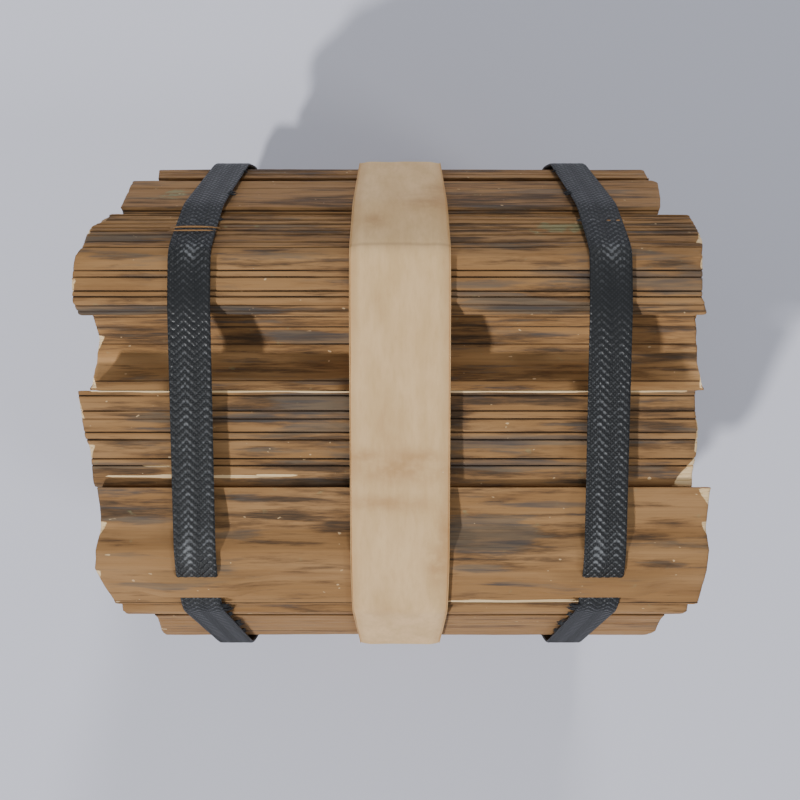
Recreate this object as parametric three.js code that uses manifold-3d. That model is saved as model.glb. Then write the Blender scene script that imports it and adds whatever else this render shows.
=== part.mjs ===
// A bundle of split firewood. Twenty-six stove logs lie side by side in a round stack, held by
// one wide band around the middle and a braided strap near each end.
// Millimetres, +Z up, logs along X, +Y to the back. The origin is on the ground under the middle.
import * as THREE from 'three';
import { mergeVertices } from 'three/addons/utils/BufferGeometryUtils.js';
import Module from 'manifold-3d';

const wasm = await Module();
wasm.setup();

// Driving dimensions
const strapWidth = 22;
const strapThick = 2.6;
const strapReach = 108.3; // middle of the bundle to the middle of either strap
const bandWidth = 52.3;
const bandThick = 3.5;
const clearance = 0.3; // between touching pieces
const bendRoom = 0.8; // a tie bends round a log's corner, so between corners it stands off this much
const softCorner = 6; // how far a tie's bend runs along each side of a corner
const bendSteps = 3;
const edgeRound = 0.5; // worn edge of a strap or the band

// The line that the outermost log corners reach, as Y and Z, anticlockwise seen from +X.
// It is flat underneath and nearly flat on top, where three logs stand level.
const logFloor = bandThick + clearance + bendRoom;
const wrapCorners = [
  [76, logFloor], [118, 36], [152, 98], [157.2, 150], [157.2, 182], [152.5, 206.5],
  [108, 287.5], [82, 315.5], [77, 319.2], [50, 320.2], [-77, 307.4], [-90, 303.2],
  [-111, 289.2], [-156.7, 191.5], [-157.2, 180], [-157.2, 148], [-151, 100], [-118, 38],
  [-76, logFloor],
];

// Every log's sawn length, from and to along X, and its section as Y and Z. A square log's ends are
// cut straight across. Flare is how much longer a log gets, at each end, per millimetre along +Y;
// tip is how far both ends shift along +X per millimetre upwards.
const endShrink = 0.985; // a log is a little slimmer at its sawn ends than at its middle
const sawLean = 0.02; // how far out of square the saw cuts run
const logs = {
  log_top_back: { from: -169, to: 159, square: true, outline: [[104, 281], [105.5, 286.5], [82, 315],
    [77, 318.8], [62, 319.6], [52, 319.6], [46, 311], [52, 284], [54, 254], [70, 248]] },
  log_top_sunken: { from: -167, to: 165, outline: [[49.3, 294], [36, 283], [23, 283], [7, 295],
    [6, 264], [14, 238], [42, 236.5], [50.5, 262]] },
  log_top_front: { from: -168.5, to: 158, square: true, outline: [[7.6, 308.5], [-10, 307], [-27, 304.5],
    [-38, 302.5], [-44.4, 300.5], [-46, 292], [-45, 268], [-26, 244], [-2, 246], [3, 268], [5.5, 290]] },
  log_front_shoulder: { from: -160, to: 165, outline: [[-43.9, 307.4], [-56, 303.5], [-67, 301],
    [-78, 306.5], [-90, 303], [-111, 289], [-113, 280], [-110, 269], [-88, 249], [-60, 247],
    [-49, 268], [-47.5, 291], [-45.3, 300.5]] },
  slat_front: { from: -159, to: 164, outline: [[-114.5, 273], [-119.5, 271], [-122.5, 264.5],
    [-96, 239], [-89.5, 244.5]] },
  log_front_upper: { from: -142, to: 152, flare: -0.44, outline: [[-124, 262], [-131, 244], [-153.3, 196.5],
    [-154, 186], [-146, 180], [-108, 184], [-97, 206], [-99, 232], [-103, 240]] },
  log_front_middle: { from: -162, to: 154, outline: [[-152.5, 113], [-156.8, 148], [-157, 180],
    [-148, 174.5], [-106, 178], [-97, 150], [-101, 117], [-140, 117.5]] },
  log_front_lower: { from: -151, to: 160, outline: [[-126, 54], [-149.5, 99], [-151, 108],
    [-140, 113], [-96, 112], [-90, 84], [-116, 56]] },
  log_front_foot: { from: -158, to: 165, outline: [[-69, 5], [-75, 5.6], [-96, 21.5], [-116, 38.5],
    [-121, 47], [-90, 78], [-62, 52], [-67, 30]] },
  log_bottom_front: { from: -163, to: 158, outline: [[-4, 4.2], [-66, 4.2], [-64, 30], [-56, 50],
    [-24, 58], [-2, 52]] },
  log_bottom_back: { from: -156, to: 169, square: true, outline: [[62, 4.2], [4, 4.2], [0, 12],
    [4, 56], [30, 60], [54, 52], [60, 20]] },
  log_back_foot: { from: -164, to: 155, outline: [[122, 48], [117, 36.5], [92, 18], [75, 5.6],
    [66, 5], [60, 50], [90, 80]] },
  log_back_lower: { from: -166, to: 161, outline: [[151.5, 113.5], [151, 98.5], [128, 55.5],
    [118, 57], [94, 84], [99, 120], [138, 116]] },
  log_back_middle: { from: -151, to: 157, outline: [[156.9, 160], [157, 150], [153, 118], [104, 124],
    [99, 142], [107, 167], [147, 161]] },
  log_back_upper: { from: -160, to: 155, tip: 0.18, outline: [[141.5, 224], [152.2, 205], [156.8, 184],
    [157, 170], [148, 165], [110, 172], [103, 192], [113, 212], [137, 219.5]] },
  log_back_shoulder: { from: -157, to: 146, flare: 0.3, outline: [[106.5, 279.5], [111, 279], [138.5, 230],
    [136, 223], [112, 216], [86, 228], [71, 243]] },
  core_top_front: { from: -157, to: 162, outline: [[-93, 231], [-84, 243.5], [-9, 238], [-6, 208],
    [-92, 190]] },
  core_top_back: { from: -164, to: 156, outline: [[-2, 239], [14, 234.5], [42, 232], [50, 248],
    [66, 243], [82, 226], [104, 213], [98, 192], [24, 186], [0, 204]] },
  core_front: { from: -155, to: 159, outline: [[-101, 177], [-93, 185], [-10, 202], [-88, 120],
    [-93, 150]] },
  core_middle: { from: -160, to: 153, outline: [[-6, 199], [19, 181], [28, 128], [4, 110], [-79, 118]] },
  core_back_upper: { from: -152, to: 163, outline: [[27, 180.5], [97, 187], [103, 170], [96, 143]] },
  core_back_lower: { from: -163, to: 157, outline: [[29, 173], [92, 139], [97, 125], [64, 114],
    [35, 127]] },
  core_low_front: { from: -161, to: 156, outline: [[-90, 112], [-40, 110.5], [-2, 104], [-4, 96],
    [-85, 85]] },
  core_bottom_front: { from: -154, to: 160, outline: [[-81, 80], [-5, 91], [-4, 61], [-24, 63],
    [-58, 56]] },
  core_low_back: { from: -158, to: 161, outline: [[4, 103.5], [30, 122], [62, 108.5], [91, 112],
    [89, 86]] },
  core_bottom_back: { from: -165, to: 154, outline: [[3, 97], [85, 80], [60, 58], [32, 66], [3, 62]] },
};

// Materials
const freshWood = new THREE.MeshStandardMaterial({ color: '#9c7149', roughness: 0.8, metalness: 0 });
const weatheredWood = new THREE.MeshStandardMaterial({ color: '#75583e', roughness: 0.85, metalness: 0 });
const braid = new THREE.MeshStandardMaterial({ color: '#333436', roughness: 0.5, metalness: 0 });
const paleLeather = new THREE.MeshStandardMaterial({ color: '#c3b098', roughness: 0.7, metalness: 0 });

// An outline in Y and Z made solid along X, from one X to another. The extrusion runs along its
// own Z, so its axes are turned round: its X becomes Y, its Y becomes Z and its Z becomes X.
function solidAlongX(shape, from, to, options = {}) {
  const geometry = new THREE.ExtrudeGeometry(shape, { depth: to - from, bevelEnabled: false, ...options });
  const turn = new THREE.Matrix4().makeBasis(
    new THREE.Vector3(0, 1, 0), new THREE.Vector3(0, 0, 1), new THREE.Vector3(1, 0, 0));
  return geometry.applyMatrix4(turn).translate(from, 0, 0);
}

function closedShape(points) {
  return new THREE.Shape(points.map(([y, z]) => new THREE.Vector2(y, z)));
}

// The line around the logs, moved outwards by a distance, with each corner drawn as a soft bend.
function wrapLine(corners, outwards) {
  const count = corners.length;
  const at = (i) => new THREE.Vector2(...corners[(i + count) % count]);
  const normal = (i) => at(i + 1).sub(at(i)).normalize().rotateAround(new THREE.Vector2(), -Math.PI / 2);
  const moved = corners.map((corner, i) => {
    const before = normal(i - 1);
    const after = normal(i);
    const reach = outwards / (1 + before.dot(after));
    return at(i).addScaledVector(before.add(after), reach);
  });
  return moved.flatMap((corner, i) => {
    const before = moved[(i - 1 + count) % count];
    const after = moved[(i + 1) % count];
    const run = (end) => Math.min(softCorner, 0.45 * corner.distanceTo(end));
    const start = corner.clone().lerp(before, run(before) / corner.distanceTo(before));
    const stop = corner.clone().lerp(after, run(after) / corner.distanceTo(after));
    return new THREE.QuadraticBezierCurve(start, corner, stop).getPoints(bendSteps);
  });
}

// A closed loop of flat stuff, lying between two lines around the logs.
function loop(corners, middle, width, inner, outer, round) {
  const shape = new THREE.Shape(wrapLine(corners, outer));
  shape.holes.push(new THREE.Path(wrapLine(corners, inner)));
  const bevel = { bevelEnabled: round > 0, bevelSize: round, bevelThickness: round, bevelOffset: -round,
    bevelSegments: 1 };
  return solidAlongX(shape, middle - width / 2 + round, middle + width / 2 - round, bevel);
}

// A log is its section carried along X in two lengths, so it swells at the middle, and its ends
// lean a little out of square.
function logSolid({ from, to, square, flare, tip, outline }, index) {
  const geometry = solidAlongX(closedShape(outline), from, to, { steps: 2 });
  const centre = outline.reduce(([y, z], point) => [y + point[0], z + point[1]], [0, 0])
    .map((sum) => sum / outline.length);
  const middle = (from + to) / 2;
  const lean = square || flare ? 0 : sawLean;
  const leanY = flare ?? lean * Math.sin(2.4 * index);
  const leanZ = tip ?? lean * Math.cos(3.1 * index);
  const place = geometry.attributes.position;
  for (let i = 0; i < place.count; i += 1) {
    const side = Math.sign(Math.round(place.getX(i) - middle));
    const size = side === 0 ? 1 : endShrink;
    const y = (place.getY(i) - centre[0]) * size;
    const z = (place.getZ(i) - centre[1]) * size;
    const x = side === 0 ? 0 : place.getX(i) + leanY * y * side + leanZ * z;
    place.setXYZ(i, x, centre[0] + y, centre[1] + z);
  }
  return geometry;
}

// A geometry as a solid for cutting and joining, and back again.
function toSolid(geometry) {
  const bare = geometry.clone();
  bare.deleteAttribute('normal');
  bare.deleteAttribute('uv');
  const merged = mergeVertices(bare);
  return new wasm.Manifold(new wasm.Mesh({
    numProp: 3,
    vertProperties: new Float32Array(merged.attributes.position.array),
    triVerts: new Uint32Array(merged.index.array),
  }));
}

function toGeometry(solid) {
  const { vertProperties, triVerts } = solid.getMesh();
  const geometry = new THREE.BufferGeometry();
  geometry.setAttribute('position', new THREE.BufferAttribute(vertProperties, 3));
  geometry.setIndex(new THREE.BufferAttribute(triVerts, 1));
  return geometry;
}

// On the front shoulder log a raised strip of wood arches over each strap, so the strap passes
// through under it. The arch stands on the shoulder's slanted facet.
const archWidth = 14.4; // along the strap
const archPlace = 0.27; // its middle, as a share of the way down the facet
const archFoot = 48; // half its length along the log, at the wood
const archCrown = 20; // half its length at the top
const archDepth = 3; // how far its foot goes into the wood
const archCover = 2.8; // wood over the strap
const facetTop = new THREE.Vector2(-90, 303);
const facetFoot = new THREE.Vector2(-111, 289);

function archSolid(middle) {
  const down = facetFoot.clone().sub(facetTop).normalize();
  const out = new THREE.Vector2(down.y, -down.x);
  const crown = bendRoom + 2 * clearance + strapThick + archCover;
  const profile = closedShape([[-archFoot, -archDepth], [archFoot, -archDepth], [archFoot, 0],
    [archCrown, crown], [-archCrown, crown], [-archFoot, 0]]);
  const geometry = new THREE.ExtrudeGeometry(profile, { depth: archWidth, bevelEnabled: false });
  const centre = facetTop.clone().lerp(facetFoot, archPlace).addScaledVector(down, -archWidth / 2);
  const basis = new THREE.Matrix4().makeBasis(
    new THREE.Vector3(1, 0, 0), new THREE.Vector3(0, out.x, out.y), new THREE.Vector3(0, down.x, down.y));
  return geometry.applyMatrix4(basis).translate(middle, centre.x, centre.y);
}

const strapPlaces = { strap_left: -strapReach, strap_right: strapReach };

// The straps are thinner than the band, so underneath they sag that much to reach the ground.
const strapCorners = wrapCorners.map(([y, z]) => [y, z === logFloor ? z - bandThick + strapThick : z]);

// The way each strap takes through the arches, a clearance bigger than the strap all round.
function strapWay(middle) {
  return toSolid(loop(strapCorners, middle, strapWidth + 2 * clearance, bendRoom,
    bendRoom + 2 * clearance + strapThick, 0));
}

const bundle = new THREE.Group();
function addPiece(name, geometry, material) {
  const piece = new THREE.Mesh(geometry, material);
  piece.name = name;
  bundle.add(piece);
}

Object.entries(logs).forEach(([name, log], index) => {
  let geometry = logSolid(log, index);
  if (name === 'log_front_shoulder') {
    let solid = toSolid(geometry);
    for (const middle of Object.values(strapPlaces)) {
      solid = solid.add(toSolid(archSolid(middle))).subtract(strapWay(middle));
    }
    geometry = toGeometry(solid);
  }
  addPiece(name, geometry, index % 3 === 1 ? weatheredWood : freshWood);
});

for (const [name, middle] of Object.entries(strapPlaces)) {
  const strap = loop(strapCorners, middle, strapWidth, bendRoom + clearance,
    bendRoom + clearance + strapThick, edgeRound);
  addPiece(name, strap, braid);
}
const band = loop(wrapCorners, 0, bandWidth, bendRoom + clearance, bendRoom + clearance + bandThick,
  edgeRound);
addPiece('centre_band', band, paleLeather);

export default bundle;
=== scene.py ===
import math
from types import SimpleNamespace
import bpy
import numpy as np
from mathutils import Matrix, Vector


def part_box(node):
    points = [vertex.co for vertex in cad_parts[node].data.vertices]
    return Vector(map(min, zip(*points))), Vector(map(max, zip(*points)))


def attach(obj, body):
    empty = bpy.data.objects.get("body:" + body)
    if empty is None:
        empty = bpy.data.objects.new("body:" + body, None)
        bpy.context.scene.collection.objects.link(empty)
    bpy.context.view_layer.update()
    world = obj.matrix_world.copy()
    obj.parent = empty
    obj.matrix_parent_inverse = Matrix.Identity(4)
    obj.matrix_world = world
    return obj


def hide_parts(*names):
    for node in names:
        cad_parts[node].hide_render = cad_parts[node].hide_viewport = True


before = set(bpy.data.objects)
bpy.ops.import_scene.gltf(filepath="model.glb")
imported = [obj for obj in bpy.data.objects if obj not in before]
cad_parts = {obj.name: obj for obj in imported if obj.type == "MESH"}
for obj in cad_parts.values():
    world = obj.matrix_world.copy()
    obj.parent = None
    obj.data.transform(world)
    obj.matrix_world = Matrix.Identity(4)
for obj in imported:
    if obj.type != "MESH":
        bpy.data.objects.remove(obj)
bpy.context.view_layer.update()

mm = 0.001
settings = {"body": "root", "middleReach": 1 * mm}

studio = {
    "cameraHeight": 0.762, "cameraY": 0.002, "lens": 38.6,
    "floorSize": 14.0, "floorColor": (0.606, 0.605, 0.685), "floorRoughness": 0.9, "floorGloss": 0.2,
    "worldColor": (0.84, 0.92, 1.0), "worldStrength": 0.42,
    # near lamps: strength, radius and place; their light does not fade with distance
    "lamps": {"keyLamp": (35.0, 0.06, (-0.94, -1.208, 1.70)), "backLamp": (14.9, 0.12, (0.19, 1.39, 1.24))},
    # far lamps: strength, softness in degrees, and the way the light travels
    "suns": {"sideSun": (0.54, 12.0, (-1.05, 0.60, -1.0))},
}


# a lamp at the scene's origin, which the caller then puts in place
def addLamp(name, kind, strength):
    lamp = bpy.data.objects.new(name, bpy.data.lights.new(name, kind))
    lamp.data.energy = strength
    bpy.context.scene.collection.objects.link(lamp)
    return lamp


# the camera over the bundle, looking straight down, with two near lamps, a soft sun and an even sky
def makeStudio():
    camera = bpy.data.objects.new("camera", bpy.data.cameras.new("camera"))
    camera.location = (0, studio["cameraY"], studio["cameraHeight"])
    camera.data.lens = studio["lens"]
    camera.data.clip_start = 0.01
    bpy.context.scene.collection.objects.link(camera)
    bpy.context.scene.camera = camera
    for name, (strength, radius, place) in studio["lamps"].items():
        lamp = addLamp(name, "POINT", strength)
        lamp.data.shadow_soft_size = radius
        lamp.location = place
        lamp.data.use_nodes = True
        tree = lamp.data.node_tree
        steady = tree.nodes.new("ShaderNodeLightFalloff")
        steady.inputs["Strength"].default_value = 1.0
        tree.links.new(steady.outputs["Constant"], tree.nodes["Emission"].inputs["Strength"])
    for name, (strength, softness, way) in studio["suns"].items():
        lamp = addLamp(name, "SUN", strength)
        lamp.data.angle = math.radians(softness)
        lamp.rotation_euler = Vector(way).to_track_quat("-Z", "Y").to_euler()
    world = bpy.data.worlds.new("studioLight")
    world.use_nodes = True
    back = world.node_tree.nodes["Background"]
    back.inputs["Color"].default_value = (*studio["worldColor"], 1)
    back.inputs["Strength"].default_value = studio["worldStrength"]
    bpy.context.scene.world = world


# a wide pale square at Z 0
def makeFloor():
    half = studio["floorSize"] / 2
    mesh = bpy.data.meshes.new("floor")
    corners = [(-half, -half, 0), (half, -half, 0), (half, half, 0), (-half, half, 0)]
    mesh.from_pydata(corners, [], [(0, 1, 2, 3)])
    floor = bpy.data.objects.new("floor", mesh)
    bpy.context.scene.collection.objects.link(floor)
    material = bpy.data.materials.new("paleFloor")
    material.use_nodes = True
    shader = material.node_tree.nodes["Principled BSDF"]
    shader.inputs["Base Color"].default_value = (*studio["floorColor"], 1)
    shader.inputs["Roughness"].default_value = studio["floorRoughness"]
    shader.inputs["Specular IOR Level"].default_value = studio["floorGloss"]
    mesh.materials.append(material)


makeStudio()
makeFloor()
print("studio ready")


# 0 below one edge, 1 above the other, and 3t^2 - 2t^3 between them
def ease(low, high, value):
    t = np.clip((value - low) / (high - low), 0, 1)
    return t * t * (3 - 2 * t)


# random heights on a lattice, blended by the eased share of each cell; the second way wraps round
def latticeNoise(seed, along, around, cellsAlong, cellsAround):
    heights = np.random.default_rng(seed).uniform(-1, 1, (cellsAlong + 2, cellsAround))
    a = np.clip(along, 0, 1) * cellsAlong
    b = (around % 1) * cellsAround
    rowBelow = np.minimum(a.astype(int), cellsAlong)
    colBelow = b.astype(int) % cellsAround
    fa, fb = ease(0, 1, a - rowBelow), ease(0, 1, b - b.astype(int))
    colNext = (colBelow + 1) % cellsAround
    low = heights[rowBelow, colBelow] * (1 - fb) + heights[rowBelow, colNext] * fb
    high = heights[rowBelow + 1, colBelow] * (1 - fb) + heights[rowBelow + 1, colNext] * fb
    return low * (1 - fa) + high * fa


# a closed line of points, put at even steps along its length
def evenLoop(points, count):
    closed = np.vstack([points, points[:1]])
    steps = np.hypot(*np.diff(closed, axis=0).T)
    length = np.concatenate([[0], np.cumsum(steps)])
    at = np.arange(count) / count * length[-1]
    return np.column_stack([np.interp(at, length, closed[:, k]) for k in (0, 1)]), length[-1]


# each point moves to the weighted mean 1:2:1 of itself and its neighbours, several times
def softLoop(points, passes):
    for _ in range(passes):
        points = (np.roll(points, 1, 0) + 2 * points + np.roll(points, -1, 0)) / 4
    return points


# outward normal of a closed anticlockwise line: its direction turned a quarter right
def loopNormals(points):
    way = np.roll(points, -1, 0) - np.roll(points, 1, 0)
    out = np.column_stack([way[:, 1], -way[:, 0]])
    return out / np.maximum(np.linalg.norm(out, axis=1, keepdims=True), 1e-9)


# one kind of number held by a mesh's points, faces or corners, in rows of a given width
def meshNumbers(items, key, width, kind=float):
    numbers = np.empty(len(items) * width, kind)
    items.foreach_get(key, numbers)
    return numbers.reshape(-1, width)


# points of a CAD node whose X lies in a range, each place once, in order of angle round their middle
def nodeRing(name, low, high):
    co = meshNumbers(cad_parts[name].data.vertices, "co", 3)
    ring = np.unique(np.round(co[(co[:, 0] > low) & (co[:, 0] < high)], 6), axis=0)
    middle = ring.mean(0)
    turn = np.arctan2(ring[:, 2] - middle[2], ring[:, 1] - middle[1])
    return ring[np.argsort(turn)]


# a mesh from arrays: points, four-sided faces and three-sided faces
def arrayMesh(name, points, quads, triangles, materials, quadSlots=None, triangleSlots=None):
    mesh = bpy.data.meshes.new(name)
    corners = np.concatenate([quads.ravel(), triangles.ravel()]).astype(np.int32)
    starts = np.concatenate([np.arange(len(quads)) * 4, len(quads) * 4 + np.arange(len(triangles)) * 3])
    mesh.vertices.add(len(points))
    mesh.vertices.foreach_set("co", points.astype(np.float32).ravel())
    mesh.loops.add(len(corners))
    mesh.loops.foreach_set("vertex_index", corners)
    mesh.polygons.add(len(starts))
    mesh.polygons.foreach_set("loop_start", starts.astype(np.int32))
    for material in materials:
        mesh.materials.append(material)
    if quadSlots is not None:
        slots = np.concatenate([quadSlots, triangleSlots]).astype(np.int32)
        mesh.polygons.foreach_set("material_index", slots)
    mesh.polygons.foreach_set("use_smooth", np.ones(len(starts), bool))
    mesh.update(calc_edges=True)
    mesh.validate()
    return mesh


# a mesh becomes a piece that rides the body and stands for the CAD nodes it replaces
def addPiece(name, mesh, slot, *replaced):
    piece = bpy.data.objects.new(name, mesh)
    bpy.context.scene.collection.objects.link(piece)
    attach(piece, settings["body"])
    if replaced:
        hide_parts(*replaced)


# one number or one vector for each point, for the materials to read by name
def vertexValue(mesh, name, values):
    kind, key = ("FLOAT_VECTOR", "vector") if values.ndim == 2 else ("FLOAT", "value")
    layer = mesh.attributes.new(name, kind, "POINT")
    layer.data.foreach_set(key, values.astype(np.float32).ravel())


# Marks fade as the exponential of minus their distance squared, counted in half lengths along X and
# half widths along Y. Where some overlap, only the strongest counts.
def markAmount(spots, x, y, isUpper):
    amount = np.zeros(x.shape)
    for spotX, spotY, halfLength, halfWidth, *strength in spots:
        away = ((x / mm - spotX) / halfLength) ** 2 + ((y / mm - spotY) / halfWidth) ** 2
        amount = np.maximum(amount, np.exp(-away) * isUpper * (strength[0] if strength else 1))
    return amount


class Shader:
    # one material's node tree, with short ways to add and join nodes
    def __init__(self, name):
        self.material = bpy.data.materials.new(name)
        self.material.use_nodes = True
        self.tree = self.material.node_tree
        self.surface = self.tree.nodes["Principled BSDF"]
        self.objectPlace = self.add("ShaderNodeTexCoord").outputs["Object"]

    def add(self, kind, **values):
        node = self.tree.nodes.new(kind)
        for key, value in values.items():
            setattr(node, key, value)
        return node

    def join(self, socket, value):
        if isinstance(value, bpy.types.NodeSocket):
            self.tree.links.new(value, socket)
        else:
            socket.default_value = value

    def math(self, kind, a, b=0.0, c=None):
        node = self.add("ShaderNodeMath", operation=kind)
        self.join(node.inputs[0], a)
        self.join(node.inputs[1], b)
        if c is not None:
            self.join(node.inputs[2], c)
        return node.outputs[0]

    def times(self, a, b):
        return self.math("MULTIPLY", a, b)

    def plus(self, a, b):
        return self.math("ADD", a, b)

    def vectorMath(self, kind, a, b=(0, 0, 0)):
        node = self.add("ShaderNodeVectorMath", operation=kind)
        self.join(node.inputs[0], a)
        self.join(node.inputs[1], b)
        return node.outputs["Value" if kind in ("LENGTH", "DOT_PRODUCT") else "Vector"]

    def value(self, name):
        return self.add("ShaderNodeAttribute", attribute_name=name).outputs["Fac"]

    def vector(self, name):
        return self.add("ShaderNodeAttribute", attribute_name=name).outputs["Vector"]

    def uv(self, name):
        return self.add("ShaderNodeUVMap", uv_map=name).outputs["UV"]

    def stretched(self, place, scale):
        node = self.add("ShaderNodeMapping")
        self.join(node.inputs["Vector"], place)
        node.inputs["Scale"].default_value = scale
        return node.outputs["Vector"]

    def noise(self, place, scale, detail=3.0, roughness=0.55):
        node = self.add("ShaderNodeTexNoise")
        self.join(node.inputs["Vector"], self.stretched(place, scale))
        node.inputs["Scale"].default_value = 1.0
        node.inputs["Detail"].default_value = detail
        node.inputs["Roughness"].default_value = roughness
        return node.outputs["Fac"]

    # between two limits the value rises from one number to another as 3t^2 - 2t^3
    def between(self, value, low, high, fromValue=0.0, toValue=1.0):
        node = self.add("ShaderNodeMapRange", interpolation_type="SMOOTHSTEP")
        for socket, number in zip(node.inputs[:5], (value, low, high, fromValue, toValue)):
            self.join(socket, number)
        return node.outputs["Result"]

    def mix(self, share, a, b, blend="MIX"):
        node = self.add("ShaderNodeMix", data_type="RGBA", blend_type=blend)
        self.join(node.inputs["Factor"], share)
        for socket, color in ((node.inputs[6], a), (node.inputs[7], b)):
            self.join(socket, (*color, 1) if isinstance(color, tuple) else color)
        return node.outputs[2]

    # a second color laid over the first, by a share and a strength
    def over(self, color, paint, share, strength=1.0):
        return self.mix(self.times(share, strength), color, paint)

    def bump(self, height, distance, strength):
        node = self.add("ShaderNodeBump")
        self.join(node.inputs["Height"], height)
        node.inputs["Distance"].default_value = distance
        node.inputs["Strength"].default_value = strength
        return node.outputs["Normal"]

    def finish(self, color, roughness, normal, specular):
        self.join(self.surface.inputs["Base Color"], color)
        self.join(self.surface.inputs["Roughness"], roughness)
        self.join(self.surface.inputs["Normal"], normal)
        self.surface.inputs["Specular IOR Level"].default_value = specular
        return self.material


woodLook = {
    "tan": (0.295, 0.155, 0.059), "paleTan": (0.345, 0.192, 0.081), "umber": (0.215, 0.105, 0.038),
    "brown": (0.120, 0.062, 0.028), "greyTan": (0.165, 0.120, 0.078), "dark": (0.043, 0.029, 0.019),
    "grey": (0.072, 0.066, 0.062), "fresh": (0.80, 0.58, 0.32), "freshDark": (0.56, 0.36, 0.17),
    "lichen": (0.24, 0.24, 0.125), "speck": (0.66, 0.46, 0.25), "grooveDark": (0.036, 0.024, 0.016),
    "ringDark": (0.140, 0.072, 0.030), "endTan": (0.330, 0.180, 0.078), "endGrey": (0.150, 0.110, 0.075),
    "endPale": (0.47, 0.30, 0.145),
    "ringWidth": 2.3 * mm, "ringWobble": 5 * mm, "fibreBump": 0.30 * mm, "endBump": 0.35 * mm,
    "gloss": 0.25, "endGloss": 0.2, "endRoughness": 0.9,
}
# each noise of the split faces: its scale along and across the grain, its detail and roughness, and
# the limits between which it comes up
woodNoise = {
    "tone": (9, 60, 3, 0.55, 0.35, 0.65), "warm": (14, 120, 4, 0.6, 0.48, 0.68),
    "fine": (12, 1300, 3, 0.6, 0.42, 0.72), "patch": (8, 45, 2, 0.55, 0.36, 0.66),
    "streak": (27, 300, 7, 0.66), "frayed": (70, 1700, 3, 0.7, 0.36, 0.60),
    "stain": (15, 130, 4, 0.6), "streaky": (30, 700, 3, 0.55, 0.35, 0.62),
    "greyTone": (18, 240, 2, 0.55, 0.4, 0.6), "moss": (120, 160, 3, 0.55),
    "broken": (26, 110, 3, 0.55, 0.36, 0.58), "speck": (230, 360, 1, 0.55, 0.765, 0.80),
    "ragged": (300, 500, 3, 0.55), "fibre": (22, 1300, 4, 0.65, 0.3, 0.7),
}


# along the log everything is drawn out: each noise is stretched some ten times along X
def splitWood():
    s = Shader("splitWood")
    look = woodLook
    place = s.vectorMath("ADD", s.objectPlace, s.vector("grainShift"))
    weather = s.value("weather")

    def grain(name):
        along, across, detail, roughness = woodNoise[name][:4]
        return s.noise(place, (along, across, across), detail, roughness)

    def layer(name, least=0.0, most=1.0):
        return s.between(grain(name), *woodNoise[name][4:], least, most)

    color = s.mix(layer("tone"), look["tan"], look["paleTan"])
    color = s.over(color, look["umber"], layer("warm"), 0.50)
    fine = layer("fine")
    color = s.over(color, look["brown"], fine, 0.20)
    # soft brown streaks with darker cores keep to wide patches, and placed marks call up more
    called = s.plus(weather, s.times(s.value("darkMark"), 0.19))
    streak = s.plus(grain("streak"), s.plus(layer("patch", -0.07, 0.09), called))
    color = s.over(color, look["brown"], s.between(streak, 0.50, 0.68), 0.66)
    darkest = s.times(s.between(streak, 0.60, 0.78), layer("frayed", 0.55, 1.0))
    color = s.over(color, look["dark"], darkest, 0.86)
    # weathered grey lies in softer stains, mostly over the streaks
    stain = s.plus(grain("stain"), s.times(s.value("greyMark"), 0.32))
    stain = s.plus(stain, s.times(s.between(streak, 0.5, 0.7), 0.07))
    stain = s.between(s.math("MULTIPLY_ADD", weather, 0.5, stain), 0.59, 0.75)
    grey = s.mix(layer("greyTone"), look["grey"], look["greyTan"])
    color = s.over(color, grey, s.times(stain, layer("streaky", 0.62, 0.95)), 0.82)
    moss = s.plus(grain("moss"), s.times(s.value("lichenMark"), 0.40))
    color = s.over(color, look["lichen"], s.between(moss, 0.66, 0.88), 0.72)
    # each split line has a brown halo and a dark, broken core
    groove = s.value("groove")
    color = s.over(color, look["brown"], s.between(groove, 0.01, 0.45), 0.42)
    color = s.over(color, look["grooveDark"], s.between(groove, 0.16, 0.72), layer("broken", 0.30, 0.92))
    color = s.over(color, look["speck"], layer("speck"), 0.7)
    # the fresh mark is a slope; the line where it passes one half, a little ragged, is the chip's edge
    chip = s.plus(s.value("fresh"), s.times(grain("ragged"), 0.14))
    freshTone = s.mix(s.between(fine, 0.1, 0.9), look["fresh"], look["freshDark"])
    color = s.over(color, freshTone, s.between(chip, 0.52, 0.62))
    # painted light from the lift value: the wood is a little paler all over its log, as its own tone, and
    # fully paler where the log lies in shade
    lifted = s.mix(1.0, color, (2.0, 2.05, 2.1), "MULTIPLY")
    color = s.over(color, lifted, s.value("lift"))
    fibre = grain("fibre")
    roughness = s.between(fibre, *woodNoise["fibre"][4:], 0.72, 0.92)
    return s.finish(color, roughness, s.bump(fibre, look["fibreBump"], 0.6), look["gloss"])


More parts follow.
